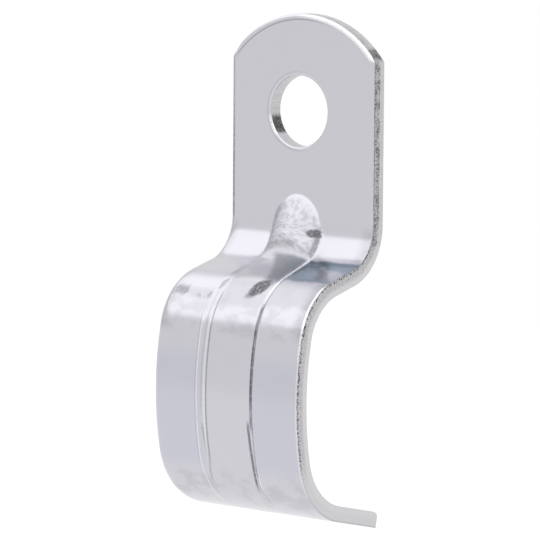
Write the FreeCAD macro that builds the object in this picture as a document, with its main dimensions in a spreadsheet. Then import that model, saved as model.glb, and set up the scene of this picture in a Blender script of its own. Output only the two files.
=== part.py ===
import FreeCAD, Part
import Sketcher

import math
import os

# One-hole strap, pressed from one piece of plated steel sheet.
#
# The strap hangs from one screw.  Its flat tab lies on the wall, a fold brings the sheet
# forwards, a short slope carries it to the shoulder, and the shallow saddle goes round the
# pipe or cable and comes back to the wall in a straight toe.  A rib is pressed along the
# middle.  It stands proud of the fold as a gusset with a round end, crosses the sheet on
# the slope and runs down the saddle as a groove that dies out on the heel.  The screw hole
# is punched a little to the left of the strap's middle line.
#
# Frame: the origin is the centre of the screw hole on the tab's wall face.  +Z is up along
# the tab, -Y points away from the wall, and X runs across the strap.  Millimetres, degrees.

SIZES = (
    ("strap_width", 16.0, "across the sheet"),
    ("sheet_thickness", 1.4, "of the plated sheet"),
    ("edge_roll", 0.35, "rounding that the die leaves on the front edges"),
    ("hole_diameter", 6.3, "for a quarter inch screw"),
    ("hole_offset", 0.3, "from the hole's centre to the strap's middle line"),
    ("tab_above_hole", 8.52, "hole centre to the top of the rounded end"),
    ("tab_below_hole", 9.5, "hole centre to the start of the fold"),
    ("end_radius", 10.05, "of the tab's rounded end"),
    ("fold_radius", 3.75, "inside the fold, on the front face"),
    ("fold_angle", 75.8, "turn of the fold, away from the wall"),
    ("slope_length", 2.68, "straight between fold and shoulder"),
    ("shoulder_radius", 4.63, "inside the saddle"),
    ("shoulder_angle", 63.1, "turn of the shoulder"),
    ("crown_radius", 24.95, "inside the saddle"),
    ("crown_angle", 24.4, "turn of the crown"),
    ("heel_radius", 5.53, "inside the saddle"),
    ("heel_angle", 65.1, "turn of the heel, back to the wall"),
    ("toe_length", 5.66, "straight after the heel"),
    ("rib_width", 5.9, "across the rib at the sheet's surface"),
    ("rib_floor", 4.3, "across the rib's flat middle"),
    ("rib_lead", 2.0, "reach of the rib's round end above the fold"),
    ("rib_rise", 0.8, "height of the rib in the middle of the fold"),
    ("rib_depth", 0.45, "depth of the groove along the saddle"),
    ("rib_run_out", 3.0, "length on the heel in which the groove dies out"),
)

doc = FreeCAD.newDocument("one_hole_strap")

sheet = doc.addObject("Spreadsheet::Sheet", "sizes")
for row, (alias, value, meaning) in enumerate(SIZES, start=1):
    sheet.set(f"A{row}", alias)
    sheet.set(f"B{row}", str(value))
    sheet.set(f"C{row}", meaning)
    sheet.setAlias(f"B{row}", alias)
doc.recompute()


def size(alias):
    """Value of one cell of the sheet."""
    return float(getattr(sheet, alias))


# ---- The sheet's path, as seen from the side ------------------------------------------

WIDTH = size("strap_width")
THICKNESS = size("sheet_thickness")
MIDDLE = size("hole_offset")  # X of the strap's middle line


def arc_stretch(radius, angle, turn):
    """A bend as its length and its signed curvature; turn is +1 away from the wall."""
    return radius * math.radians(angle), turn / radius


STRETCHES = {
    "tab": (size("tab_above_hole") + size("tab_below_hole"), 0.0),
    "fold": arc_stretch(size("fold_radius") + THICKNESS, size("fold_angle"), 1),
    "slope": (size("slope_length"), 0.0),
    "shoulder": arc_stretch(size("shoulder_radius"), size("shoulder_angle"), -1),
    "crown": arc_stretch(size("crown_radius"), size("crown_angle"), -1),
    "heel": arc_stretch(size("heel_radius"), size("heel_angle"), -1),
    "toe": (size("toe_length"), 0.0),
}


def advance(point, heading, length, curvature):
    """Go along one stretch of the wall side; heading is measured from straight down."""
    y, z = point
    if curvature == 0.0:
        return (y - length * math.sin(heading), z - length * math.cos(heading)), heading
    ahead = heading + curvature * length
    y += (math.cos(ahead) - math.cos(heading)) / curvature
    z -= (math.sin(ahead) - math.sin(heading)) / curvature
    return (y, z), ahead


def place(stretch, share):
    """Point and heading on the wall side, at a share of the named stretch."""
    point, heading = (0.0, size("tab_above_hole")), 0.0
    for name, (length, curvature) in STRETCHES.items():
        if name == stretch:
            return advance(point, heading, share * length, curvature)
        point, heading = advance(point, heading, length, curvature)


def raised(stretch, share, across, height):
    """Point across from the middle line and at a height square to the wall side."""
    (y, z), heading = place(stretch, share)
    y -= height * math.cos(heading)
    z += height * math.sin(heading)
    return FreeCAD.Vector(MIDDLE + across, y, z)


# ---- The rib ---------------------------------------------------------------------------

RIB_HALF = size("rib_width") / 2
FLOOR_HALF = size("rib_floor") / 2
HEAD = 1.0 - 1.25 * size("rib_lead") / STRETCHES["tab"][0]  # share of the tab


def rib_share(across):
    """How much of the rib's height there is: all on its flat, none past its sides."""
    return min(1.0, max(0.0, (RIB_HALF - abs(across)) / (RIB_HALF - FLOOR_HALF)))


def rib_start(across):
    """Where the rib begins on the tab; its end is round, as seen from the front."""
    roundness = math.sqrt(max(0.0, 1.0 - (across / RIB_HALF) ** 2))
    lead = size("rib_lead") * (0.1 + 0.9 * roundness)
    return 1.0 - lead / STRETCHES["tab"][0], 1.0 - 0.5 * lead / STRETCHES["tab"][0]


def side_line(across, base, top=HEAD):
    """Edges of one face of the sheet, from a share of the tab down to the toe's tip."""
    rise = size("rib_rise") * rib_share(across)
    depth = size("rib_depth") * rib_share(across)
    start, crest = rib_start(across)
    run_out = size("rib_run_out") / STRETCHES["heel"][0]

    def at(stretch, share, rib=0.0):
        return raised(stretch, share, across, base + rib)

    corners = (
        at("tab", top),
        at("tab", start),
        at("tab", crest, 0.6 * rise),
        at("fold", 0.0, 0.75 * rise),
        at("slope", 0.0, 0.6 * rise),
        at("shoulder", 0.0, -0.5 * depth),
        at("crown", 0.0, -depth),
        at("heel", 0.0, -depth),
        at("heel", run_out),
        at("toe", 0.0),
        at("toe", 1.0),
    )
    middles = {
        3: at("fold", 0.5, rise),
        5: at("shoulder", 0.5, -0.9 * depth),
        6: at("crown", 0.5, -depth),
        7: at("heel", run_out / 2, -0.75 * depth),
        8: at("heel", (1.0 + run_out) / 2),
    }
    edges = []
    for index, (here, there) in enumerate(zip(corners, corners[1:])):
        if index in middles:
            edges.append(Part.Arc(here, middles[index], there).toShape())
        else:
            edges.append(Part.LineSegment(here, there).toShape())
    return edges, corners[0], corners[-1]


def outline(across):
    """Closed outline of the sheet, from just above the rib to the tip of the toe."""
    back, back_top, back_tip = side_line(across, 0.0)
    front, front_top, front_tip = side_line(across, THICKNESS)
    tip = Part.LineSegment(front_tip, back_tip).toShape()
    top = Part.LineSegment(back_top, front_top).toShape()
    return Part.Wire(front + [tip] + back[::-1] + [top])


# ---- The pressed strip, lofted across its width ---------------------------------------

EDGE = WIDTH / 2
RIGHT_HALF = (0.5 * FLOOR_HALF, FLOOR_HALF, RIB_HALF, EDGE)
STATIONS = [-across for across in reversed(RIGHT_HALF)] + [0.0] + list(RIGHT_HALF)

strip = doc.addObject("Part::Feature", "pressed_strip")
strip.Shape = Part.makeLoft([outline(across) for across in STATIONS], True, True)


# ---- The flat tab and its screw hole, added to the strip -------------------------------

HOLE = size("hole_diameter")
END = size("end_radius")
TOP = size("tab_above_hole")
HEAD_Z = place("tab", HEAD)[0][1]
CORNER_Z = TOP - END + math.sqrt(max(0.0, END ** 2 - EDGE ** 2))

body = doc.addObject("PartDesign::Body", "body")
body.Label = "strap"
body.BaseFeature = strip
wall_plane = next(plane for plane in body.Origin.OriginFeatures if plane.Role == "XZ_Plane")


def wall_sketch(name):
    """Empty sketch on the wall's plane, with X across the strap and Y up the tab."""
    sketch = body.newObject("Sketcher::SketchObject", name)
    sketch.AttachmentSupport = [(wall_plane, "")]
    sketch.MapMode = "FlatFace"
    return sketch


def drive(sketch, name, formula, *dimension):
    """Add a dimension to a sketch, name it and bind it to the sheet."""
    sketch.addConstraint(Sketcher.Constraint(*dimension))
    sketch.renameConstraint(sketch.ConstraintCount - 1, name)
    sketch.setExpression(f"Constraints.{name}", formula)


def flat(x, z):
    return FreeCAD.Vector(x, z, 0.0)


tab_sketch = wall_sketch("tab_sketch")
end_angle = math.asin(min(1.0, EDGE / END))
end_circle = Part.Circle(flat(MIDDLE, TOP - END), FreeCAD.Vector(0, 0, 1), END)
end_arc = Part.ArcOfCircle(end_circle, math.pi / 2 - end_angle, math.pi / 2 + end_angle)
tab_corners = (
    flat(MIDDLE - EDGE, CORNER_Z),
    flat(MIDDLE - EDGE, HEAD_Z),
    flat(MIDDLE + EDGE, HEAD_Z),
    flat(MIDDLE + EDGE, CORNER_Z),
)
tab_sketch.addGeometry(end_arc)
for here, there in zip(tab_corners, tab_corners[1:]):
    tab_sketch.addGeometry(Part.LineSegment(here, there))
for link in (
    ("Coincident", 0, 2, 1, 1),
    ("Coincident", 1, 2, 2, 1),
    ("Coincident", 2, 2, 3, 1),
    ("Coincident", 3, 2, 0, 1),
    ("Vertical", 1),
    ("Vertical", 3),
    ("Horizontal", 2),
    ("Horizontal", 0, 1, 0, 2),
):
    tab_sketch.addConstraint(Sketcher.Constraint(*link))
end_centre = "sizes.tab_above_hole - sizes.end_radius"
head_height = "sizes.tab_below_hole - 1.25 * sizes.rib_lead"
drive(tab_sketch, "end_round", "sizes.end_radius", "Radius", 0, END)
drive(tab_sketch, "end_middle", "sizes.hole_offset", "DistanceX", -1, 1, 0, 3, MIDDLE)
drive(tab_sketch, "end_centre", end_centre, "DistanceY", -1, 1, 0, 3, TOP - END)
drive(tab_sketch, "tab_width", "sizes.strap_width", "DistanceX", 2, 1, 2, 2, WIDTH)
drive(tab_sketch, "head_height", head_height, "DistanceY", 2, 1, -1, 1, -HEAD_Z)
doc.recompute()

tab = body.newObject("PartDesign::Pad", "tab")
tab.Profile = tab_sketch
tab.setExpression("Length", "sizes.sheet_thickness")
doc.recompute()

hole_sketch = wall_sketch("hole_sketch")
hole_circle = Part.Circle(flat(0.0, 0.0), FreeCAD.Vector(0, 0, 1), HOLE / 2)
hole_sketch.addGeometry(hole_circle)
hole_sketch.addConstraint(Sketcher.Constraint("Coincident", 0, 3, -1, 1))
drive(hole_sketch, "hole_round", "sizes.hole_diameter", "Diameter", 0, HOLE)
doc.recompute()

screw_hole = body.newObject("PartDesign::Hole", "screw_hole")
screw_hole.Profile = hole_sketch
screw_hole.ThreadType = "None"
screw_hole.DepthType = "ThroughAll"
screw_hole.Reversed = True
screw_hole.setExpression("Diameter", "sizes.hole_diameter")
doc.recompute()


# ---- The front edges, rolled over by the die -------------------------------------------
#
# The right side was sheared the other way, so its front edge is sharp.

left_line = Part.Compound(side_line(-EDGE, THICKNESS, 0.0)[0])


def is_front_rim(edge):
    """True for the hole's and the rounded end's rim, and for the strap's left side."""
    middle = edge.valueAt((edge.FirstParameter + edge.LastParameter) / 2)
    if isinstance(edge.Curve, Part.Circle) and abs(middle.y + THICKNESS) < 1e-6:
        return True
    return left_line.distToShape(Part.Vertex(middle))[0] < 1e-4


numbered = enumerate(screw_hole.Shape.Edges, start=1)
rims = [f"Edge{number}" for number, edge in numbered if is_front_rim(edge)]
rolled_rims = body.newObject("PartDesign::Fillet", "rolled_rims")
rolled_rims.Base = (screw_hole, rims)
rolled_rims.setExpression("Radius", "sizes.edge_roll")
doc.recompute()


# ---- Checks and export -----------------------------------------------------------------

for made in doc.Objects:
    if {"Invalid", "Error"} & set(made.State):
        raise RuntimeError(f"{made.Label} did not recompute")
if body.Shape.isNull() or not body.Shape.isValid() or len(body.Shape.Solids) != 1:
    raise RuntimeError("the strap is not one valid solid")
if not body.Shape.Volume < screw_hole.Shape.Volume < tab.Shape.Volume:
    raise RuntimeError("the hole or the rolled edges took nothing away")

os.makedirs("parts", exist_ok=True)
body.Shape.exportStep(f"parts/{body.Label}.step")
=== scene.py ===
import math

import bmesh
import bpy
from mathutils import Matrix, Vector


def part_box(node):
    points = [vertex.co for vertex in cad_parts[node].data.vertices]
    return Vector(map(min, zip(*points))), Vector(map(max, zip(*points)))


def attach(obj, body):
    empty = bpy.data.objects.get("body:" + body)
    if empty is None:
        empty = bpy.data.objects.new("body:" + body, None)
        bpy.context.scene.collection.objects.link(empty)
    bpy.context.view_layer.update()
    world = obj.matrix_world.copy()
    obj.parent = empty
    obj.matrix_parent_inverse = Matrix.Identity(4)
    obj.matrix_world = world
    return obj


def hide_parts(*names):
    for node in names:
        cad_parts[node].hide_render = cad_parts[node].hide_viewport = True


bl_info = {
    "name": "Conduit strap",
    "version": (1, 0, 0),
    "blender": (4, 5, 0),
    "location": "3D View > Sidebar > Strap",
    "description": "Cuts, presses and plates a one-hole conduit strap, and sets its stage",
    "category": "Object",
}

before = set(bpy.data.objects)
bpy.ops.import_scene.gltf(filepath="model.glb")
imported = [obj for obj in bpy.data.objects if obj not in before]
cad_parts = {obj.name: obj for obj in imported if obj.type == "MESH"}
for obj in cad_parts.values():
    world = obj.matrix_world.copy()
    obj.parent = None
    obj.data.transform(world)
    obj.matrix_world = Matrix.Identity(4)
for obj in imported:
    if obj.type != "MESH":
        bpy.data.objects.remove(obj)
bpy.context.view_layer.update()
STRAP_LOW, STRAP_HIGH = (Vector(corner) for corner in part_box("strap"))
MIDDLE = (STRAP_LOW.x + STRAP_HIGH.x) / 2  # the hole is punched off the middle line
MM = 0.001


# ---- Sizes a user may change ------------------------------------------------------------


def length(name, description, millimetres):
    return bpy.props.FloatProperty(
        name=name,
        description=description,
        default=millimetres * MM,
        min=0.0,
        precision=5,
        subtype="DISTANCE",
        unit="LENGTH",
    )


def angle(name, description, degrees):
    return bpy.props.FloatProperty(
        name=name,
        description=description,
        default=math.radians(degrees),
        subtype="ANGLE",
        unit="ROTATION",
    )


def colour(name, description, red, green, blue):
    return bpy.props.FloatVectorProperty(
        name=name,
        description=description,
        default=(red, green, blue, 1.0),
        size=4,
        min=0.0,
        max=1.0,
        subtype="COLOR",
    )


class BlankSizes(bpy.types.PropertyGroup):
    """The flat sheet before it is pressed."""

    width: length("Width", "Across the sheet", (STRAP_HIGH.x - STRAP_LOW.x) / MM)
    thickness: length("Thickness", "Of the plated sheet", 1.4)
    top: length("Top", "Hole centre to the top of the rounded end", STRAP_HIGH.z / MM)
    end_radius: length("End radius", "Of the tab's rounded end", 10.05)
    hole: length("Hole", "Diameter of the screw hole", 6.3)
    left_roll: length("Left roll", "Width of the rolled front edge on the left", 1.0)
    end_roll: length("End roll", "Width of the rolled front edge round the end", 0.42)
    right_roll: length("Right roll", "Width of the sheared front edge on the right", 0.06)
    rim_roll: length("Rim roll", "Width of the rolled front edge of the hole", 0.3)
    toe_roll: length("Toe roll", "Width of the rolled back edge of the toe's end", 0.8)


class PressSizes(bpy.types.PropertyGroup):
    """The bends, in order from the tab to the toe, and the rib pressed along the middle."""

    tab: length("Tab", "Hole centre to the start of the fold", 9.5)
    fold_radius: length("Fold radius", "On the front face", 3.75)
    fold_angle: angle("Fold angle", "Turn away from the wall", 75.8)
    slope: length("Slope", "Straight between fold and shoulder", 2.68)
    shoulder_radius: length("Shoulder radius", "Inside the saddle", 4.63)
    shoulder_angle: angle("Shoulder angle", "Turn of the shoulder", 63.1)
    crown_radius: length("Crown radius", "Inside the saddle", 24.95)
    crown_angle: angle("Crown angle", "Turn of the crown", 24.4)
    heel_radius: length("Heel radius", "Inside the saddle", 5.53)
    heel_angle: angle("Heel angle", "Turn back to the wall", 65.1)
    toe: length("Toe", "Straight after the heel", 5.66)
    gusset_half: length("Gusset half width", "Of the raised end of the rib", 2.85)
    gusset_lead: length("Gusset lead", "Reach of the raised end above the fold", 2.4)
    gusset_rise: length("Gusset rise", "Height of the raised end", 1.75)
    gusset_lean: length("Gusset lean", "Shift of the raised end's tip to the left", 0.35)
    gusset_end: length("Gusset end", "Hole centre to the foot of the raised end", 19.5)
    groove_half: length("Groove half width", "At the sheet's surface", 3.18)
    floor_half: length("Floor half width", "Flat floor of the groove", 2.48)
    groove_shift: length("Groove shift", "To the right of the middle line", 0.13)
    groove_depth: length("Groove depth", "Along the saddle", 0.45)
    run_out: length("Run out", "Length on the heel in which the groove dies out", 3.0)


class FinishColours(bpy.types.PropertyGroup):
    """Colours of the plated faces and of the bare cut edge, with painted highlights, reflections
    and shade.
    """

    zinc: colour("Zinc", "Bright plated face", 0.570, 0.564, 0.609)
    saddle: colour("Saddle", "Plated face of the saddle's flats", 0.535, 0.535, 0.605)
    # Painted blue reflection, in the corner of the fold and on the rib's right side.
    passivate: colour("Reflected_blue", "Blue film left in the corner of the fold", 0.27, 0.35, 0.42)
    # Painted shade in hollows and creases, painted dark reflections, and darker patches and
    # mottling.
    stain: colour("Marks_and_shade", "Dark marks left in hollows and by the die", 0.09, 0.09, 0.10)
    # Painted highlights along the groove's edges, the sheet's right edge, the end's roll and the
    # hole's rim.
    gleam: colour("Highlight", "Burnished lines beside the groove", 0.80, 0.80, 0.82)
    cut: colour("Cut edge", "Sheared and plated edge", 0.61, 0.60, 0.62)
    torn: colour("Torn edge", "Torn part of the sheared edge", 0.07, 0.07, 0.07)


class StageSizes(bpy.types.PropertyGroup):
    """Camera and lights."""

    azimuth: angle("Azimuth", "Camera's turn to the right of square on", 38.8)
    elevation: angle("Elevation", "Camera's height above level", 6.5)
    roll: angle("Roll", "Camera's tilt", 0.37)
    distance: length("Distance", "Camera to the strap", 307.0)
    lens: bpy.props.FloatProperty(
        name="Lens",
        description="Focal length in millimetres, on a sensor 36 mm wide",
        default=235.7,
        min=1.0,
        unit="CAMERA",
    )
    aim: bpy.props.FloatVectorProperty(
        name="Aim",
        description="Point the camera looks at, from the centre of the strap's box",
        default=(0.19 * MM, 0.11 * MM, 0.23 * MM),
        precision=5,
        subtype="TRANSLATION",
        unit="LENGTH",
    )
    drop: length("Drop", "Floor below the strap's lowest point", 60.0)
    floor: length("Floor", "Radius of the round floor", 600.0)
    softbox: bpy.props.FloatProperty(
        name="Softbox",
        description="Light added overhead to the white studio",
        default=0.57,
        min=0.0,
    )


# ---- Node arithmetic -------------------------------------------------------------------


class Term:
    """One number in a node tree; adding, multiplying and so on adds a Math node."""

    def __init__(self, tree, socket):
        self.tree = tree
        self.socket = socket

    def _math(self, operation, *others, swap=False):
        node = self.tree.nodes.new("ShaderNodeMath")
        node.operation = operation
        values = [self, *others]
        if swap:
            values.reverse()
        for slot, value in zip(node.inputs, values):
            if isinstance(value, Term):
                self.tree.links.new(value.socket, slot)
            else:
                slot.default_value = value
        return Term(self.tree, node.outputs[0])

    def __add__(self, other):
        return self._math("ADD", other)

    def __sub__(self, other):
        return self._math("SUBTRACT", other)

    def __mul__(self, other):
        return self._math("MULTIPLY", other)

    def __truediv__(self, other):
        return self._math("DIVIDE", other)

    def __radd__(self, other):
        return self._math("ADD", other)

    def __rmul__(self, other):
        return self._math("MULTIPLY", other)

    def __rsub__(self, other):
        return self._math("SUBTRACT", other, swap=True)

    def __neg__(self):
        return self._math("MULTIPLY", -1.0)

    def sin(self):
        return self._math("SINE")

    def cos(self):
        return self._math("COSINE")

    def abs(self):
        return self._math("ABSOLUTE")

    def sqrt(self):
        return self._math("SQRT")

    def at_least(self, other):
        return self._math("MAXIMUM", other)

    def at_most(self, other):
        return self._math("MINIMUM", other)

    def fade(self, low, high):
        """Smooth step from 0 at low to 1 at high."""
        node = self.tree.nodes.new("ShaderNodeMapRange")
        node.interpolation_type = "SMOOTHSTEP"
        for slot, value in zip(node.inputs[:3], (self, low, high)):
            if isinstance(value, Term):
                self.tree.links.new(value.socket, slot)
            else:
                slot.default_value = value
        return Term(self.tree, node.outputs[0])


# ---- The press: a node tree that bends the blank and raises the rib --------------------

GUSSET_SLANT = 0.72  # rise of the gusset's top line per length along the tab
CREST_BLEND = 0.8 * MM  # rounding where the gusset's top line levels out
FOOT_BLEND = 0.12 * MM  # rounding where the gusset's side meets the sheet
GUSSET_LOSS = 0.86  # share of its height that the gusset loses before its foot
LOSS_START, LOSS_END = 7.5 * MM, 1.5 * MM  # before the foot
GUSSET_FADE = 2.0 * MM  # past the foot
GROOVE_LEAD = 0.5 * MM  # the groove begins this far before the slope
GROOVE_SETTLE = 3.5 * MM  # and is at full depth this far past the shoulder's start


def soft_least(one, other, blend):
    """The lesser of two numbers, with the corner rounded over a blend."""
    apart = one - other
    return (one + other - (apart * apart + blend * blend).sqrt()) * 0.5


def soft_most(one, blend):
    """A number where it is above nothing, with the corner rounded over a blend."""
    return (one + (one * one + blend * blend).sqrt()) * 0.5


def group_inputs(tree, entries):
    """Named number inputs of a tree, as terms."""
    node = tree.nodes.new("NodeGroupInput")
    for label, kind, default in entries:
        socket = tree.interface.new_socket(label, in_out="INPUT", socket_type="NodeSocketFloat")
        socket.subtype = kind
        socket.default_value = default
    return node, {label: Term(tree, node.outputs[label]) for label, _, _ in entries}


def press_inputs(tree, press, blank):
    """The press sizes as inputs of the tree, and what it needs to know of the blank."""
    fields = []
    for key in PressSizes.__annotations__:
        rule = press.bl_rna.properties[key]
        kind = "ANGLE" if rule.subtype == "ANGLE" else "DISTANCE"
        fields.append((rule.name, kind, getattr(press, key)))
    fields.append(("Thickness", "DISTANCE", blank.thickness))
    fields.append(("Middle", "DISTANCE", MIDDLE))
    return group_inputs(tree, fields)


def follow_bends(size, along):
    """The back's y and z and its turn at a place along the blank, and where each bend starts."""
    bends = (
        ("Fold", size["Fold radius"] + size["Thickness"], size["Fold angle"], 1.0),
        ("Slope", None, size["Slope"], 0.0),
        ("Shoulder", size["Shoulder radius"], size["Shoulder angle"], -1.0),
        ("Crown", size["Crown radius"], size["Crown angle"], -1.0),
        ("Heel", size["Heel radius"], size["Heel angle"], -1.0),
        ("Toe", None, size["Toe"], 0.0),
    )
    start = size["Tab"]
    turned = 0.0 * start
    heading = 0.0 * start
    y = 0.0 * start
    z = -along.at_most(start)
    starts = {}
    for label, radius, amount, turn in bends:
        starts[label] = start
        past = (along - start).at_least(0.0)
        if radius is None:
            done = past.at_most(amount)
            y = y - turned.sin() * done
            z = z - turned.cos() * done
            start = start + amount
            continue
        swept = (past / radius).at_most(amount) * turn
        ahead = turned + swept
        y = y + (ahead.cos() - turned.cos()) * radius * turn
        z = z - (ahead.sin() - turned.sin()) * radius * turn
        heading = heading + swept
        start = start + radius * amount
        turned = turned + amount * turn
    return y, z, heading, starts


def gusset_height(size, across, along):
    """The gusset is a round bead laid slantwise across the fold; it leans a little left."""
    tip = size["Tab"] - size["Gusset lead"]
    foot = size["Gusset end"]
    lean = size["Gusset lean"] * ((foot - along) / (foot - tip)).at_least(0.0).at_most(1.0)
    beside = (across - size["Middle"] + lean).abs()
    rise, half = size["Gusset rise"], size["Gusset half width"]
    radius = (rise * rise + half * half) / (2.0 * rise)
    sag = radius - (radius * radius - beside * beside).at_least(0.0).sqrt()
    crest = soft_least((along - tip) * GUSSET_SLANT, rise, CREST_BLEND)
    bead = soft_most(crest - sag, FOOT_BLEND)
    drop = 1.0 - along.fade(foot - LOSS_START, foot - LOSS_END) * GUSSET_LOSS
    return bead * drop * (1.0 - along.fade(foot, foot + GUSSET_FADE))


def groove_sink(size, across, along, starts):
    """The groove sinks in over the slope and dies out on the heel."""
    side = (across - size["Middle"] - size["Groove shift"]).abs()
    trough = 1.0 - side.fade(size["Floor half width"], size["Groove half width"])
    sinking = along.fade(starts["Slope"] - GROOVE_LEAD, starts["Shoulder"] + GROOVE_SETTLE)
    rising = 1.0 - along.fade(starts["Heel"], starts["Heel"] + size["Run out"])
    return trough * sinking * rising * size["Groove depth"]


def store(tree, shape, name, kind, value):
    """Keep a value at each point of the mesh, for the finishes."""
    node = tree.nodes.new("GeometryNodeStoreNamedAttribute")
    node.data_type = kind
    node.domain = "POINT"
    node.inputs["Name"].default_value = name
    tree.links.new(shape, node.inputs["Geometry"])
    tree.links.new(value, node.inputs["Value"])
    return node.outputs["Geometry"]


def dress(tree, shape, plate, cut):
    """Give the faces their finish, and the cut faces theirs."""
    realize = tree.nodes.new("GeometryNodeRealizeInstances")
    tree.links.new(shape, realize.inputs[0])
    plated = tree.nodes.new("GeometryNodeSetMaterial")
    plated.inputs["Material"].default_value = plate
    tree.links.new(realize.outputs[0], plated.inputs["Geometry"])
    edge = tree.nodes.new("GeometryNodeInputNamedAttribute")
    edge.data_type = "BOOLEAN"
    edge.inputs["Name"].default_value = "cut_edge"
    sheared = tree.nodes.new("GeometryNodeSetMaterial")
    sheared.inputs["Material"].default_value = cut
    tree.links.new(plated.outputs[0], sheared.inputs["Geometry"])
    tree.links.new(edge.outputs[0], sheared.inputs["Selection"])
    return sheared.outputs[0]


def press_tree(press, blank, plate, cut):
    """Geometry Nodes tree that turns the flat blank into the pressed strap."""
    tree = bpy.data.node_groups.new("Press the strap", "GeometryNodeTree")
    tree.interface.new_socket("Blank", in_out="INPUT", socket_type="NodeSocketGeometry")
    tree.interface.new_socket("Strap", in_out="OUTPUT", socket_type="NodeSocketGeometry")
    source, size = press_inputs(tree, press, blank)

    position = tree.nodes.new("GeometryNodeInputPosition")
    parts = tree.nodes.new("ShaderNodeSeparateXYZ")
    tree.links.new(position.outputs[0], parts.inputs[0])
    across = Term(tree, parts.outputs["X"])
    height = -Term(tree, parts.outputs["Y"])
    along = -Term(tree, parts.outputs["Z"])

    y, z, heading, starts = follow_bends(size, along)
    gusset = gusset_height(size, across, along)
    lift = height + gusset - groove_sink(size, across, along, starts)
    place = tree.nodes.new("ShaderNodeCombineXYZ")
    tree.links.new(across.socket, place.inputs[0])
    tree.links.new((y - heading.cos() * lift).socket, place.inputs[1])
    tree.links.new((z + heading.sin() * lift).socket, place.inputs[2])

    shape = source.outputs["Blank"]
    shape = store(tree, shape, "blank", "FLOAT_VECTOR", position.outputs[0])
    shape = store(tree, shape, "raised", "FLOAT", (gusset / MM).socket)
    bend = tree.nodes.new("GeometryNodeSetPosition")
    tree.links.new(shape, bend.inputs["Geometry"])
    tree.links.new(place.outputs[0], bend.inputs["Position"])
    out = tree.nodes.new("NodeGroupOutput")
    tree.links.new(dress(tree, bend.outputs[0], plate, cut), out.inputs[0])
    return tree


# ---- The blank: a flat strip with a rounded end, a hole and rolled front edges ---------

ROLL_STEPS = 6
WALL_STEPS = 5
ROLL_DEPTH = 0.5  # of a rolled edge, as a share of its width
SHARP_ANGLE = math.radians(50)  # edges that turn more than this stay crisp
MERGE_DISTANCE = 1e-5 * MM
# Mesh steps: across the flats, the groove's floor and its wall; along the rib and the toe.
FLAT_STEP, FLOOR_STEP, WALL_STEP = 0.4 * MM, 0.26 * MM, 0.1 * MM
RIB_STEP, TOE_STEP = 0.2 * MM, 0.4 * MM
SIDE_STEP, ARC_STEP, RING_SHARE = 0.4 * MM, 0.3 * MM, 0.08
INSIDE_WALL, OUTSIDE_WALL = 0.4 * MM, 0.35 * MM  # how far the fine steps reach past the wall
HEAD_GAP = 0.3 * MM  # from the gusset's tip up to the line where the tab's ring begins
RIB_MARGIN = 1.0 * MM  # fine steps carried on past the groove's end
# The end's roll narrows from the left corner, and again just before the right one.
LEFT_TAPER, RIGHT_TAPER = (-1.0, -0.8), (0.93, 1.0)


def between(low, high, share):
    """Place at a share of the way from low to high."""
    return low + (high - low) * share


def spread(low, high, step):
    """Evenly spaced values from low to high, at most a step apart."""
    count = max(1, math.ceil((high - low) / step - 1e-6))
    return [low + (high - low) * index / count for index in range(count + 1)]


def smooth(value, low, high):
    """Smooth step from 0 at low to 1 at high."""
    share = min(1.0, max(0.0, (value - low) / (high - low)))
    return share * share * (3 - 2 * share)


def rolled(width):
    """Inset and drop of a rolled edge, from the flat face out to the cut."""
    turns = [math.pi / 2 * step / ROLL_STEPS for step in range(ROLL_STEPS + 1)]
    return [
        (width * (1 - math.sin(turn)), width * ROLL_DEPTH * (1 - math.cos(turn)))
        for turn in turns
    ]


class Blank:
    """Collects the patches of the flat blank; a point is (across, along, height)."""

    def __init__(self):
        self.mesh = bmesh.new()
        self.cut = self.mesh.faces.layers.bool.new("cut_edge")

    def patch(self, rows, cut=False):
        """Grid of quads through rows of points, measured from the strap's middle line."""
        made = [
            [self.mesh.verts.new((MIDDLE + x, -height, -along)) for x, along, height in row]
            for row in rows
        ]
        for upper, lower in zip(made, made[1:]):
            for index in range(len(upper) - 1):
                corners = (upper[index], upper[index + 1], lower[index + 1], lower[index])
                self.mesh.faces.new(corners)[self.cut] = cut

    def wall(self, lip, bases=None):
        """Cut face from the back, which is flat unless bases are given, up to a lip."""
        bases = bases or [0.0] * len(lip)
        levels = spread(0.0, 1.0, 1.0 / WALL_STEPS)
        rows = [
            [(x, s, between(base, high, level)) for (x, s, high), base in zip(lip, bases)]
            for level in levels
        ]
        self.patch(rows, True)

    def finish(self, name):
        """Merge the patches, turn the faces outwards and mark the cut's sharp edges."""
        bmesh.ops.remove_doubles(self.mesh, verts=self.mesh.verts, dist=MERGE_DISTANCE)
        bmesh.ops.recalc_face_normals(self.mesh, faces=self.mesh.faces)
        for face in self.mesh.faces:
            face.smooth = True
        for edge in self.mesh.edges:
            edge.smooth = edge.calc_face_angle(0.0) < SHARP_ANGLE
        mesh = bpy.data.meshes.new(name)
        self.mesh.to_mesh(mesh)
        self.mesh.free()
        return mesh


def stations(blank, press):
    """Places along the blank at which each bend starts, and where the sheet ends."""
    lengths = {
        "fold": (press.fold_radius + blank.thickness) * press.fold_angle,
        "slope": press.slope,
        "shoulder": press.shoulder_radius * press.shoulder_angle,
        "crown": press.crown_radius * press.crown_angle,
        "heel": press.heel_radius * press.heel_angle,
        "toe": press.toe,
    }
    place = press.tab
    starts = {}
    for name, amount in lengths.items():
        starts[name] = place
        place += amount
    return {**starts, "foot": place}


def side_columns(blank, press, roll):
    """Places across one half of the sheet up to its roll, close together on the rib's wall."""
    inner = blank.width / 2 - roll
    wall_in, wall_out = press.floor_half - INSIDE_WALL, press.groove_half + OUTSIDE_WALL
    places = spread(0.0, wall_in, FLOOR_STEP)
    places += spread(wall_in, wall_out, WALL_STEP)[1:]
    return places + spread(wall_out, inner, FLAT_STEP)[1:]


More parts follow.
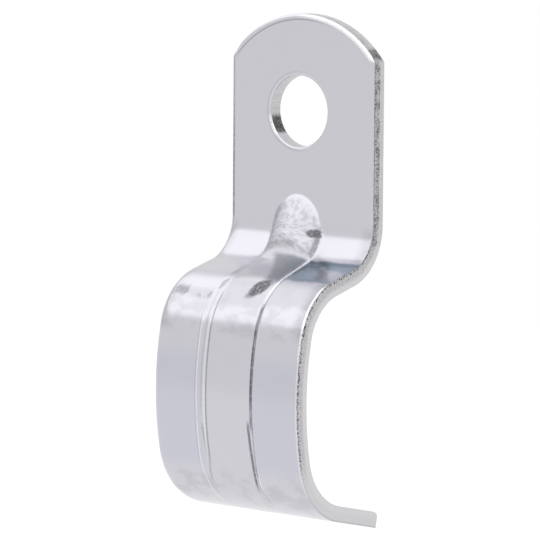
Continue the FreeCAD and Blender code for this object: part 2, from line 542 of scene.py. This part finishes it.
def lay_strip(sheet, blank, press, columns, head):
    """The strip from the head line to the toe, with its two long cut faces and its end."""
    half, thick = blank.width / 2, blank.thickness
    starts = stations(blank, press)
    left = [(inset - half, drop) for inset, drop in reversed(rolled(blank.left_roll)[1:])]
    right = [(half - inset, drop) for inset, drop in rolled(blank.right_roll)[1:]]
    section = left + [(x, 0.0) for x in columns] + right

    rows = spread(head, starts["heel"] + press.run_out + RIB_MARGIN, RIB_STEP)
    rows += spread(rows[-1], starts["foot"] - blank.toe_roll, TOE_STEP)[1:]
    toe_roll = rolled(blank.toe_roll)[1:]
    bases = [0.0] * len(rows) + [drop for _, drop in toe_roll]
    rows += [starts["foot"] - inset for inset, _ in toe_roll]

    sheet.patch([[(x, s, thick - drop) for x, drop in section] for s in rows])
    sheet.patch([[(x, s, base) for x, _ in section] for s, base in zip(rows, bases)])
    sheet.wall([(-half, s, thick - left[0][1]) for s in rows], bases)
    sheet.wall([(half, s, thick - right[-1][1]) for s in rows], bases)
    end = [(x, starts["foot"], thick - drop) for x, drop in section]
    sheet.wall(end, [bases[-1]] * len(end))


def rim_bands(blank, head):
    """Rolled edge of the tab: up the right side, over the end and down the left side."""
    half, thick = blank.width / 2, blank.thickness
    centre = blank.end_radius - blank.top

    def corner(inset):
        """Along-sheet place of the tab's corner, at an inset from the cut."""
        radius = blank.end_radius - inset
        return centre - math.sqrt(radius ** 2 - (half - inset) ** 2)

    def side_band(sign, width, share):
        """Points across the rolled edge of a side, at a share of the way to the corner."""
        return [
            (sign * (half - inset), head + (corner(inset) - head) * share, thick - drop)
            for inset, drop in rolled(width)
        ]

    def arc_band(share):
        """Points across the rolled edge of the end, from -1 on the left to 1 on the right."""
        width = blank.left_roll + (blank.end_roll - blank.left_roll) * smooth(share, *LEFT_TAPER)
        width += (blank.right_roll - blank.end_roll) * smooth(share, *RIGHT_TAPER)
        points = []
        for inset, drop in rolled(width):
            radius = blank.end_radius - inset
            swing = math.asin((half - inset) / radius) * share
            place = centre - radius * math.cos(swing)
            points.append((radius * math.sin(swing), place, thick - drop))
        return points

    side_steps = spread(0.0, 1.0, SIDE_STEP / (head - corner(0.0)))
    arc_steps = spread(-1.0, 1.0, ARC_STEP / half)
    bands = [side_band(1.0, blank.right_roll, share) for share in side_steps]
    bands += [arc_band(-share) for share in arc_steps[1:]]
    return bands + [side_band(-1.0, blank.left_roll, 1.0 - share) for share in side_steps[1:]]


def lay_tab(sheet, blank, columns, bands, head):
    """The tab above the head line: its rolled edge, and the flat ring round the hole."""
    thick, bore = blank.thickness, blank.hole / 2
    outline = [(x, head) for x in columns[:-1]] + [band[0][:2] for band in bands]

    def ring_point(x, s, radius):
        """Point of the hole's circle in the direction of a point of the outline."""
        reach = math.hypot(x + MIDDLE, s)
        return (x + MIDDLE) / reach * radius - MIDDLE, s / reach * radius

    rings = []
    for inset, drop in reversed(rolled(blank.rim_roll)):
        rings.append([(*ring_point(x, s, bore + inset), thick - drop) for x, s in outline])
    rim = rings[-1]
    for share in spread(0.0, 1.0, RING_SHARE)[1:]:
        rings.append([
            (a + (x - a) * share, b + (s - b) * share, thick)
            for (a, b, _), (x, s) in zip(rim, outline)
        ])
    for rows in (bands, rings):
        sheet.patch(rows)
        sheet.patch([[(x, s, 0.0) for x, s, _ in row] for row in rows])
    sheet.wall([band[-1] for band in bands])
    sheet.wall(rings[0])


def cut_blank(blank, press):
    """Flat mesh of the blank: the strip, and above its head line the tab."""
    columns = [-x for x in reversed(side_columns(blank, press, blank.left_roll)[1:])]
    columns += side_columns(blank, press, blank.right_roll)
    head = press.tab - press.gusset_lead - HEAD_GAP
    sheet = Blank()
    lay_strip(sheet, blank, press, columns, head)
    lay_tab(sheet, blank, columns, rim_bands(blank, head), head)
    return sheet.finish("strap blank")


# ---- Finishes ---------------------------------------------------------------------------


RIM_SPOT_TURN = math.radians(25)  # how far below the hole's left side the dark spot on its wall and the painted highlight on its rim lie
GRAIN_DEPTH = 0.05 * MM
PLATE_ROUGHNESS, CUT_ROUGHNESS = 0.17, 0.42
RELIEF = 0.3  # how strongly the fine unevenness tells
SPOT_EDGE = (0.65, 1.15)  # from solid to nothing, as shares of a spot's half size
LINE_HEAD, LINE_TAIL = 0.8, 1.5  # length over which a line comes in and goes out
LINE_CORE = 0.35  # solid share of a line's half width
WOBBLE_SIZE, WOBBLE_REACH = 0.9, 0.7
PATCHINESS = 0.9  # how much the clouds vary the dull areas


class Places:
    """Where the strap's features lie on the flat sheet, in millimetres from the hole's centre.

    The marks of the finishes are placed from these, so they move with the sizes.
    """

    def __init__(self, blank, press):
        starts = {name: place / MM for name, place in stations(blank, press).items()}
        self.fold, self.slope = starts["fold"], starts["slope"]
        self.crown, self.heel, self.toe = starts["crown"], starts["heel"], starts["toe"]
        self.mid_shoulder = between(starts["shoulder"], self.crown, 0.5)
        self.run_out = press.run_out / MM
        half = blank.width / 2 / MM
        self.middle = MIDDLE / MM
        self.half = half
        self.left, self.right = self.middle - half, self.middle + half
        self.left_roll = blank.left_roll / MM
        # The groove: its floor's edges, its lips on the surface and the walls between.
        floor, lip = press.floor_half / MM, press.groove_half / MM
        self.groove = (MIDDLE + press.groove_shift) / MM
        self.floor_left, self.floor_right = self.groove - floor, self.groove + floor
        self.lip_left, self.lip_right = self.groove - lip, self.groove + lip
        self.wall = lip - floor
        # The gusset: its right edge and its foot.
        self.gusset_right = (MIDDLE + press.gusset_half) / MM
        self.gusset_foot = press.gusset_end / MM
        # The rounded end and the hole.
        self.thickness = blank.thickness / MM
        end_radius = blank.end_radius / MM
        self.end_centre = end_radius - blank.top / MM
        self.corner = self.end_centre - math.sqrt(end_radius ** 2 - half ** 2)
        self.end_flat = end_radius - blank.end_roll / MM
        self.bore = blank.hole / 2 / MM
        self.rim = self.bore + blank.rim_roll / MM
        # A dark spot on the hole's wall and a painted highlight on its rim, a little below its
        # left side.
        self.burr_across = -self.bore * math.cos(RIM_SPOT_TURN)
        self.burr_along = self.bore * math.sin(RIM_SPOT_TURN)

    def in_fold(self, share):
        """Place at a share of the way round the fold."""
        return between(self.fold, self.slope, share)


def shader_tree(name):
    """A new material, its node tree and its shader."""
    material = bpy.data.materials.new(name)
    material.use_nodes = True
    tree = material.node_tree
    return material, tree, tree.nodes["Principled BSDF"]


class Sheet:
    """A finish's view of the blank: places on the flat sheet, in millimetres."""

    def __init__(self, tree):
        self.tree = tree
        node = tree.nodes.new("ShaderNodeAttribute")
        node.attribute_name = "blank"
        self.place = node.outputs["Vector"]
        parts = tree.nodes.new("ShaderNodeSeparateXYZ")
        tree.links.new(self.place, parts.inputs[0])
        self.across = Term(tree, parts.outputs["X"]) * (1 / MM)
        self.height = Term(tree, parts.outputs["Y"]) * (-1 / MM)
        self.along = Term(tree, parts.outputs["Z"]) * (-1 / MM)
        lifted = tree.nodes.new("ShaderNodeAttribute")
        lifted.attribute_name = "raised"
        self.raised = Term(tree, lifted.outputs["Fac"])

    def noise(self, across, through, along, detail=2.0):
        """Cloudy noise around 0.5 with its grain's three sizes in millimetres."""
        scale = self.tree.nodes.new("ShaderNodeVectorMath")
        scale.operation = "MULTIPLY"
        self.tree.links.new(self.place, scale.inputs[0])
        scale.inputs[1].default_value = [1 / MM / size for size in (across, through, along)]
        node = self.tree.nodes.new("ShaderNodeTexNoise")
        node.inputs["Scale"].default_value = 1.0
        node.inputs["Detail"].default_value = detail
        self.tree.links.new(scale.outputs[0], node.inputs["Vector"])
        return Term(self.tree, node.outputs[0])

    def wobbled(self, size, reach):
        """The same sheet with its places moved about, which makes a mark's outline uneven."""
        loose = Sheet(self.tree)
        loose.across = loose.across + (self.noise(size, size, size) - 0.5) * reach
        loose.along = loose.along + (self.noise(size * 1.3, size, size * 1.3) - 0.5) * reach
        return loose

    def spot(self, across, along, wide, long, slant=0.0, strength=1.0):
        """Oval mark with soft edges; slant moves it sideways per length."""
        down = self.along - along
        aside = (self.across - across - down * slant) / wide
        down = down / long
        return (1.0 - (aside * aside + down * down).sqrt().fade(*SPOT_EDGE)) * strength

    def zone(self, left, right, top, bottom, soft=0.3, strength=1.0):
        """Rectangle of the sheet with soft edges."""
        inside = (self.across - left).fade(-soft, soft) * (right - self.across).fade(-soft, soft)
        inside = inside * (self.along - top).fade(-soft, soft)
        return inside * (bottom - self.along).fade(-soft, soft) * strength

    def line(self, across, top, bottom, width, drift=0.0, strength=1.0):
        """Thin line along the strap with tapered ends, drifting sideways from top to bottom."""
        aside = (self.across - across - (self.along - top) * (drift / (bottom - top))).abs()
        share = self.along.fade(top, top + LINE_HEAD)
        share = share * (1.0 - self.along.fade(bottom - LINE_TAIL, bottom))
        return (1.0 - aside.fade(width * LINE_CORE, width)) * share * strength

    def reach(self, along=0.0, across=0.0):
        """Distance on the flat sheet from a point."""
        aside, down = self.across - across, self.along - along
        return (aside * aside + down * down).sqrt()


def strongest(marks):
    """The strongest of several marks at each place."""
    most, *others = marks
    for mark in others:
        most = most.at_least(mark)
    return most


def coat(tree, under, over, share):
    """Colour of a coat over another, where share is 1."""
    node = tree.nodes.new("ShaderNodeMix")
    node.data_type = "RGBA"
    tree.links.new(share.socket, node.inputs["Factor"])
    for slot, value in zip((node.inputs["A"], node.inputs["B"]), (under, over)):
        if isinstance(value, bpy.types.NodeSocket):
            tree.links.new(value, slot)
        else:
            slot.default_value = value
    return node.outputs["Result"]


def rough_up(tree, skin, relief):
    """Fine unevenness of a finish's surface."""
    bump = tree.nodes.new("ShaderNodeBump")
    bump.inputs["Strength"].default_value = RELIEF
    bump.inputs["Distance"].default_value = GRAIN_DEPTH
    tree.links.new(relief.socket, bump.inputs["Height"])
    tree.links.new(bump.outputs["Normal"], skin.inputs["Normal"])


def gusset_foot_shade(sheet, at):
    """Painted shade in the crease round the gusset's foot, darker on the right."""
    foot = sheet.raised.fade(0.02, 0.15) * (1.0 - sheet.raised.fade(0.35, 0.7))
    top = sheet.along.fade(at.fold, at.in_fold(0.3))
    bottom = 1.0 - sheet.along.fade(at.in_fold(0.7), at.in_fold(0.85))
    right = sheet.across.fade(at.middle, at.gusset_right)
    return foot * top * bottom * (right * 0.3 + 0.35)


def groove_wall_shade(sheet, at):
    """Painted shade lines down the groove's walls, from the shoulder to the heel."""
    top, bottom = at.mid_shoulder - 0.8, at.heel + at.run_out / 2
    before, after = at.heel - at.run_out, at.heel + at.run_out
    left_wall = at.floor_left - at.wall / 2
    inside_floor = at.floor_right - at.wall / 2
    uneven = sheet.noise(1.5, 1.5, 3.0).fade(0.38, 0.56) * 0.5 + 0.5
    return strongest((
        sheet.line(at.floor_left, top, bottom, width=0.11, strength=0.5),
        sheet.line(left_wall, top, before, width=0.09, strength=0.15),
        sheet.line(at.lip_left - 0.15, top, bottom, width=0.09, strength=0.18),
        # The left wall closes in as the groove dies out on the heel.
        sheet.line(left_wall, before, after, width=0.10, drift=at.wall / 2, strength=0.35),
        # The right wall's painted shade is darkest; on the heel its line starts just inside the
        # floor.
        sheet.line(at.floor_right, at.mid_shoulder, before + 1.0, width=0.17) * uneven,
        sheet.line(inside_floor, before - 0.5, after, width=0.2, drift=at.wall / 2, strength=0.8),
        sheet.line(
            at.floor_right, at.heel, after + 1.5, width=0.10, drift=at.wall, strength=0.35
        ),
    ))


def highlight_lines(sheet, at):
    """Painted highlight lines along the rib's edges and the right-hand edge of the sheet."""
    top, bottom = at.crown - 1.0, at.heel + at.run_out / 2
    after = at.heel + at.run_out
    inside_lip = at.lip_right - at.wall / 4
    return strongest((
        sheet.line(at.floor_right, at.in_fold(0.75), at.mid_shoulder + 0.5, width=0.12),
        sheet.line(at.lip_left, top, bottom, width=0.10, strength=0.55),
        sheet.line(at.floor_left - at.wall / 4, top, bottom, width=0.10, strength=0.45),
        sheet.line(at.lip_left, at.heel, at.toe, width=0.12, drift=at.wall / 2, strength=0.4),
        sheet.line(inside_lip, at.mid_shoulder + 1.0, after, width=0.11, strength=0.6),
        sheet.line(at.right - 0.1, at.gusset_foot, at.crown + 2.5, width=0.16, strength=0.9),
        sheet.line(at.right - 0.06, at.crown + 1.0, after, width=0.10, strength=0.5),
    ))


def dark_spots_and_reflection(loose, at, cloud, dots):
    """Dark spots on the gusset and below its foot, and a painted dark reflection across the left
    of the shoulder, broken up by the grain.
    """
    foot = at.gusset_foot + 1.0  # half way down the gusset's dying foot
    junction = between(at.groove, at.floor_right, 0.4)
    crest = between(at.middle, at.gusset_right, 0.25)
    shoulder = between(at.middle, at.gusset_right, 0.75)
    marks = strongest((
        loose.spot(junction, foot, wide=0.85, long=1.0, slant=-0.6, strength=0.95),
        loose.spot(at.floor_left - at.wall / 2, foot, wide=0.16, long=0.6, strength=0.4),
        loose.spot(shoulder, at.in_fold(0.25), wide=0.5, long=0.75, strength=0.9),
        loose.spot(crest, at.in_fold(0.65), wide=0.36, long=0.7, slant=0.5, strength=0.5),
    ))
    top, bottom = at.mid_shoulder - 0.3, at.mid_shoulder + 0.5
    band = loose.zone(at.left + 0.3, at.lip_left, top, bottom, soft=0.25)
    band = band * cloud.fade(0.44, 0.58) * 0.55
    return marks.at_least(band) * (dots * 0.4 + 0.6)


def mottling(sheet, loose, at, bead):
    """Patchy dulling of the gusset, of the light band past the shoulder and of the heel."""
    fine = sheet.noise(0.5, 0.5, 0.5, 3.0).fade(0.46, 0.60)
    broad = sheet.noise(1.6, 1.0, 0.9, 4.0).fade(0.44, 0.64)
    past_shoulder = at.mid_shoulder + 0.6
    band = loose.zone(at.left, at.right, past_shoulder, at.crown + 0.3, soft=0.4, strength=0.13)
    heel = loose.zone(at.left, at.right, at.heel + 1.0, at.toe + 0.5, soft=0.6, strength=0.13)
    return (bead * fine * 0.22).at_least(band.at_least(heel) * broad)


def pressed_band_and_reflection(loose, at, cloud):
    """Where the die pressed the shoulder hardest and left the plating dull and patchy; in the
    colour the band is also a painted dark reflection.
    """
    top, bottom = at.gusset_foot + 0.5, at.mid_shoulder + 0.6
    left_top, left_bottom = at.mid_shoulder - 0.3, at.mid_shoulder + 0.4
    band = strongest((
        loose.zone(at.floor_right, at.right + 1.0, top, bottom, soft=0.25),
        loose.zone(at.floor_left, at.floor_right - 0.3, top, bottom),
        loose.zone(at.left - 1.0, at.lip_left, left_top, left_bottom, soft=0.35),
    ))
    return band * ((cloud - 0.5) * PATCHINESS + 1.0)


def shaded_edges(sheet, at, cloud):
    """Painted shade along both long edges, from the fold to the crown."""
    edges = (sheet.across - at.middle).abs().fade(at.half - 1.5, at.half - 0.2)
    edges = edges * sheet.along.fade(at.fold, at.fold + 1.5)
    edges = edges * (1.0 - sheet.along.fade(at.crown - 0.6, at.crown + 0.9))
    return edges * ((cloud - 0.5) * PATCHINESS + 1.0)


def rib_dark_patch(loose, at):
    """Speckled, darker and rougher patch on the rib's right side, wider up the slope; it ends at
    the gusset's foot.
    """
    edge = at.middle - 0.6 + (loose.along - at.slope) * 0.5
    top, bottom = at.slope - 0.8, at.gusset_foot + 0.3
    body = loose.zone(at.lip_left, at.floor_right, top, bottom, soft=0.4)
    return (loose.across - edge).fade(-0.4, 0.5) * body


def painted_blue_reflection(sheet, loose, at):
    """Painted blue reflection in the corner of the fold, and how dark it is; it is darker at its
    borders.
    """
    top = at.in_fold(0.8)
    share_across = (sheet.across - at.floor_right) / (at.right - at.floor_right)
    share_along = (loose.along - top) / (at.gusset_foot - top)
    reflection = share_across.fade(0.0, 0.05) * share_along.fade(-0.06, 0.06)
    reflection = reflection * (1.0 - share_along.fade(0.94, 1.06))
    # A lighter streak slants down across the painted reflection, and is brightest at the sheet's
    # edge.
    streak = (share_along - share_across * 0.45 - 0.3).abs()
    streak = (1.0 - streak.fade(0.08, 0.3)) * share_across.fade(0.1, 0.85) * 0.9
    dark_border = strongest((
        (1.0 - share_along.fade(0.06, 0.3)) * 0.5,
        share_along.fade(0.86, 1.0) * 0.45,
        (1.0 - share_across.fade(0.04, 0.2)) * 0.3,
    ))
    reflection = reflection * (1.0 - streak)
    return reflection, reflection * dark_border


def rounded_end(sheet, at):
    """1 on the tab's rounded end, above its two corners."""
    return 1.0 - sheet.along.fade(at.corner - 0.3, at.corner + 0.1)


def rim_shade(sheet, at):
    """Painted shade: a fine dark line inside the end's roll, and a faint ring round the hole."""
    from_centre = sheet.reach(at.end_centre, at.middle)
    line = 1.0 - (from_centre - at.end_flat + 0.05).abs().fade(0.03, 0.11)
    line = line * rounded_end(sheet, at)
    line = line * (1.0 - sheet.across.fade(at.middle, at.middle + at.half / 2)) * 0.4
    ring = (1.0 - (sheet.reach() - at.rim).abs().fade(0.03, 0.12)) * 0.16
    return line.at_least(ring * (1.0 - sheet.across.fade(-1.0, 1.5)))


def rim_highlights(sheet, loose, at):
    """Painted highlights along the end's roll on the right, and a bright glint on the hole's rim.
    """
    roll = sheet.reach(at.end_centre, at.middle).fade(at.end_flat, at.end_flat + 0.1)
    roll = roll * sheet.across.fade(at.middle - 1.0, at.middle + 2.0) * rounded_end(sheet, at)
    rim_glint = loose.spot(at.burr_across, at.burr_along, wide=0.8, long=1.1)
    return roll.at_least(rim_glint * (1.0 - sheet.reach().fade(at.rim - 0.15, at.rim)))


def left_roll_reflection(sheet, at, speckle):
    """Painted dark reflection, speckled, on the outer part of the tab's rolled left edge, deeper
    below the hole.
    """
    outer = 1.0 - (sheet.across - at.left).fade(at.left_roll * 0.3, at.left_roll * 0.6)
    tab = 1.0 - sheet.along.fade(at.fold - 0.5, at.fold + 1.5)
    deeper = sheet.along.fade(-2.0, 4.0) * 0.30 + 0.42
    return outer * tab * deeper * (speckle.fade(0.35, 0.6) * 0.6 + 0.7)


def saddle_flats(sheet, at):
    """1 on the saddle's two flats beside the groove."""
    flats = (sheet.across - at.groove).abs().fade(at.wall * 3.5, at.wall * 4.5)
    flats = flats * sheet.along.fade(at.crown + 1.0, at.crown + 3.5)
    return flats * (1.0 - sheet.along.fade(at.heel, at.heel + 1.3))


def rib_darkening_and_shade(sheet, loose, at, bead, cloud):
    """Darkening of the lower gusset and the groove's head, and painted shade on the gusset's left
    side.
    """
    top, bottom = at.in_fold(0.6), at.gusset_foot + 0.5
    lower = loose.zone(at.lip_left, at.floor_right, top, bottom, soft=0.5, strength=0.24)
    left_side = 1.0 - sheet.across.fade(at.floor_left - 0.3, at.floor_left + 0.9)
    return lower + bead * (cloud.fade(0.44, 0.66) * 0.12 + left_side * 0.14)


def plated_finish(colours, at):
    """Bright zinc: even on the flats, frosted on the gusset, with painted shade in its hollows and
    creases, painted highlights and painted reflections.
    """
    material, tree, skin = shader_tree("Bright zinc")
    sheet = Sheet(tree)
    loose = sheet.wobbled(WOBBLE_SIZE, WOBBLE_REACH)
    speckle = sheet.noise(0.20, 0.20, 0.20, 3.0)
    cloud = sheet.noise(1.2, 1.0, 1.2, 3.0)
    dots = speckle.fade(0.30, 0.54)
    # No mark shows on the back of the sheet.
    front = sheet.height.fade(at.thickness * 0.2, at.thickness * 0.5)
    bead = sheet.raised.fade(0.1, 0.5)
    bead = bead * (1.0 - sheet.along.fade(at.in_fold(0.6), at.in_fold(0.9)))
    dark_patch = rib_dark_patch(loose, at)
    # The pressed band is rougher; in the colour it is also a painted dark reflection.
    pressed = pressed_band_and_reflection(loose, at, cloud)

    face = coat(tree, colours.zinc, colours.saddle, saddle_flats(sheet, at) * front)
    # Painted blue reflection in the corner of the fold, and its darker parts.
    reflection, reflection_dark = painted_blue_reflection(sheet, loose, at)
    # Part of the rib's dark patch also takes the painted blue reflection.
    tinge = dark_patch * sheet.across.fade(at.middle, at.gusset_right - 0.7) * 0.45
    face = coat(tree, face, colours.passivate, reflection.at_least(tinge) * front)

    # Painted shade on the edges and the gusset's left side, a painted dark reflection on the
    # shoulder, and darker patches and mottling.
    dull_and_shade = pressed * 0.16 + shaded_edges(sheet, at, cloud) * 0.2
    dull_and_shade = dull_and_shade + rib_darkening_and_shade(sheet, loose, at, bead, cloud) + dark_patch * (speckle * 0.3 + 0.22)
    dull_and_shade = dull_and_shade + mottling(sheet, loose, at, bead)
    # Painted shade in the creases round the gusset and down the groove's walls.
    lines = gusset_foot_shade(sheet, at).at_least(groove_wall_shade(sheet, at)) * (dots * 0.45 + 0.55)
    dark = strongest((
        dull_and_shade.at_most(0.85),
        reflection_dark,
        lines,
        dark_spots_and_reflection(loose, at, cloud, dots),
        left_roll_reflection(sheet, at, speckle),
        rim_shade(sheet, at),
    ))
    face = coat(tree, face, colours.stain, dark * front)

    # Painted highlights along the rib, the sheet's right edge, the end's roll and the hole's rim.
    gleam = highlight_lines(sheet, at).at_least(rim_highlights(sheet, loose, at))
    face = coat(tree, face, colours.gleam, gleam * speckle.fade(0.22, 0.5) * front)

    tree.links.new(face, skin.inputs["Base Color"])
    skin.inputs["Metallic"].default_value = 1.0
    roughness = bead * 0.2 + dark_patch * 0.3 + pressed * 0.16 + cloud * 0.04 + PLATE_ROUGHNESS
    tree.links.new(roughness.socket, skin.inputs["Roughness"])
    rough_up(tree, skin, (speckle * 0.5 + cloud) * (bead + dark_patch + dark * 0.5) * front)
    return material


def cut_finish(colours, at):
    """Sheared edge: dark and torn towards the front on the tab, smooth further down."""
    material, tree, skin = shader_tree("Sheared edge")
    sheet = Sheet(tree)
    grit = sheet.noise(0.18, 0.25, 0.18, 3.0)
    patches = sheet.noise(0.9, 0.9, 0.9, 2.0)
    streaks = sheet.noise(0.12, 4.0, 0.12, 1.0)
    grain = 1.0 - grit.fade(0.36, 0.60)
    uneven = (sheet.height + (patches - 0.5) * 0.35) / at.thickness

    # Which stretch of the edge: the hole's wall, the tab, its rounded end and the saddle.
    bore = 1.0 - sheet.reach().fade(at.bore + 0.15, at.bore + 0.35)
    tab = 1.0 - sheet.along.fade(at.fold + 1.0, at.fold + 4.0)
    end = 1.0 - sheet.along.fade(at.corner - 0.5, at.corner + 0.1)
    saddle = 1.0 - sheet.along.fade(at.heel - 1.2, at.heel + 1.8)
    outside = 1.0 - bore

    torn = uneven.fade(0.36, 0.49) * tab * outside * (1.0 - end * 0.75)
    rim = uneven.fade(0.75, 0.86) * saddle * outside
    level = sheet.height / at.thickness
    lip = level.fade(0.82, 0.89) * tab * outside * (grain * 0.4 + 0.45)
    toe_line = level.fade(0.86, 0.93) * (1.0 - saddle) * 0.2
    scuff = sheet.spot(at.right - 0.8, at.corner - 0.5, wide=0.8, long=0.7, slant=0.6)
    scuff = scuff * end * (grain * 0.3 + 0.5)
    bore_spot = sheet.spot(at.burr_across, at.burr_along, wide=0.7, long=1.0)
    bore_spot = bore_spot * bore * (grain * 0.3 + 0.7)
    dark = strongest((
        torn * (grain * 0.5 + patches.fade(0.35, 0.65) * 0.3 + 0.14),
        lip,
        rim * grain * 0.75,
        toe_line,
        scuff,
        bore_spot,
    ))
    upper = level.fade(0.25, 0.57) * (1.0 - tab) * (saddle * (grain * 0.25 + 0.1) + 0.05)
    back = (1.0 - torn) * tab * (streaks.fade(0.45, 0.7) * 0.14 + 0.1)
    dark = (dark + upper + back).at_most(1.0)
    tree.links.new(coat(tree, colours.cut, colours.torn, dark), skin.inputs["Base Color"])
    skin.inputs["Metallic"].default_value = 1.0
    skin.inputs["Roughness"].default_value = CUT_ROUGHNESS
    rough_up(tree, skin, grit * (torn + rim))
    return material


# ---- Stage -------------------------------------------------------------------------------

SENSOR_WIDTH = 36.0
FLOOR_GREY = (0.80, 0.80, 0.80, 1.0)
WHITE = (1.0, 1.0, 1.0, 1.0)
FLOOR_SIDES = 96
SOFTBOX_EDGE = (0.36, 0.46)  # height at which the light overhead begins, as a share of straight up
SOFTBOX_BACK = (0.22, 0.50)  # how far it reaches back over the wall's side


def lay_floor(scene, sizes):
    """Round pale floor below the strap; it keeps the strap's shadow."""
    mesh = bpy.data.meshes.new("floor")
    disc = bmesh.new()
    place = Matrix.Translation((0.0, 0.0, STRAP_LOW.z - sizes.drop))
    bmesh.ops.create_circle(
        disc, cap_ends=True, segments=FLOOR_SIDES, radius=sizes.floor, matrix=place
    )
    disc.to_mesh(mesh)
    disc.free()
    floor = bpy.data.objects.new("floor", mesh)
    scene.collection.objects.link(floor)
    material, _, skin = shader_tree("Pale floor")
    skin.inputs["Base Color"].default_value = FLOOR_GREY
    skin.inputs["Roughness"].default_value = 1.0
    skin.inputs["Specular IOR Level"].default_value = 0.0
    mesh.materials.append(material)


def studio_world(sizes):
    """White studio, the same to the camera and to the metal, with a soft light overhead."""
    world = bpy.data.worlds.new("Studio")
    world.use_nodes = True
    tree = world.node_tree
    light = tree.nodes["Background"]
    direction = tree.nodes.new("ShaderNodeTexCoord")
    parts = tree.nodes.new("ShaderNodeSeparateXYZ")
    tree.links.new(direction.outputs["Generated"], parts.inputs[0])
    y, z = Term(tree, parts.outputs["Y"]), Term(tree, parts.outputs["Z"])
    softbox = z.fade(*SOFTBOX_EDGE) * (1.0 - y.fade(*SOFTBOX_BACK))
    strength = 1.0 + softbox * sizes.softbox
    tree.links.new(strength.socket, light.inputs["Strength"])
    light.inputs["Color"].default_value = WHITE
    return world


# ---- Operators ---------------------------------------------------------------------------


class STRAP_OT_press(bpy.types.Operator):
    """Cut the blank, press it and plate it"""

    bl_idname = "strap.press"
    bl_label = "Press the strap"
    bl_options = {"REGISTER", "UNDO"}

    def execute(self, context):
        scene = context.scene
        at = Places(scene.strap_blank, scene.strap_press)
        plate = plated_finish(scene.strap_colours, at)
        cut = cut_finish(scene.strap_colours, at)
        blank = cut_blank(scene.strap_blank, scene.strap_press)
        flat = bpy.data.objects.new("strap_blank", blank)
        scene.collection.objects.link(flat)
        press = flat.modifiers.new("Press", "NODES")
        press.node_group = press_tree(scene.strap_press, scene.strap_blank, plate, cut)
        context.view_layer.update()
        pressed = flat.evaluated_get(context.evaluated_depsgraph_get())
        mesh = bpy.data.meshes.new_from_object(pressed)
        bpy.data.objects.remove(flat)
        strap = bpy.data.objects.new("pressed_strap", mesh)
        scene.collection.objects.link(strap)
        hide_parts("strap")
        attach(strap, "root")
        return {"FINISHED"}


class STRAP_OT_stage(bpy.types.Operator):
    """Set the floor, the lights and the camera"""

    bl_idname = "strap.stage"
    bl_label = "Set the stage"
    bl_options = {"REGISTER", "UNDO"}

    def execute(self, context):
        scene = context.scene
        sizes = scene.strap_stage
        scene.view_settings.view_transform = "Standard"
        lay_floor(scene, sizes)
        scene.world = studio_world(sizes)

        centre = (STRAP_LOW + STRAP_HIGH) / 2
        aim = centre + Vector(sizes.aim)
        swing, rise = sizes.azimuth, sizes.elevation
        away = Vector((
            math.sin(swing) * math.cos(rise),
            -math.cos(swing) * math.cos(rise),
            math.sin(rise),
        ))
        data = bpy.data.cameras.new("camera")
        data.lens = sizes.lens
        data.sensor_width = SENSOR_WIDTH
        data.clip_start = 10 * MM
        camera = bpy.data.objects.new("camera", data)
        scene.collection.objects.link(camera)
        facing = away.to_track_quat("Z", "Y").to_matrix().to_4x4()
        turn = Matrix.Rotation(sizes.roll, 4, "Z")
        camera.matrix_world = Matrix.Translation(aim + away * sizes.distance) @ facing @ turn
        scene.camera = camera
        return {"FINISHED"}


class STRAP_PT_panel(bpy.types.Panel):
    """Lists the steps of making the strap"""

    bl_idname = "STRAP_PT_panel"
    bl_label = "Conduit strap"
    bl_space_type = "VIEW_3D"
    bl_region_type = "UI"
    bl_category = "Strap"

    def draw(self, context):
        for step in STEPS:
            self.layout.operator(step.bl_idname)


STEPS = (STRAP_OT_press, STRAP_OT_stage)
GROUPS = {
    "strap_blank": BlankSizes,
    "strap_press": PressSizes,
    "strap_colours": FinishColours,
    "strap_stage": StageSizes,
}


def register():
    for group in GROUPS.values():
        bpy.utils.register_class(group)
    for step in STEPS:
        bpy.utils.register_class(step)
    bpy.utils.register_class(STRAP_PT_panel)
    for name, group in GROUPS.items():
        setattr(bpy.types.Scene, name, bpy.props.PointerProperty(type=group))


def unregister():
    for name in GROUPS:
        delattr(bpy.types.Scene, name)
    bpy.utils.unregister_class(STRAP_PT_panel)
    for step in reversed(STEPS):
        bpy.utils.unregister_class(step)
    for group in reversed(GROUPS.values()):
        bpy.utils.unregister_class(group)


def main():
    register()
    bpy.ops.strap.press()
    bpy.ops.strap.stage()


if __name__ == "__main__":
    main()
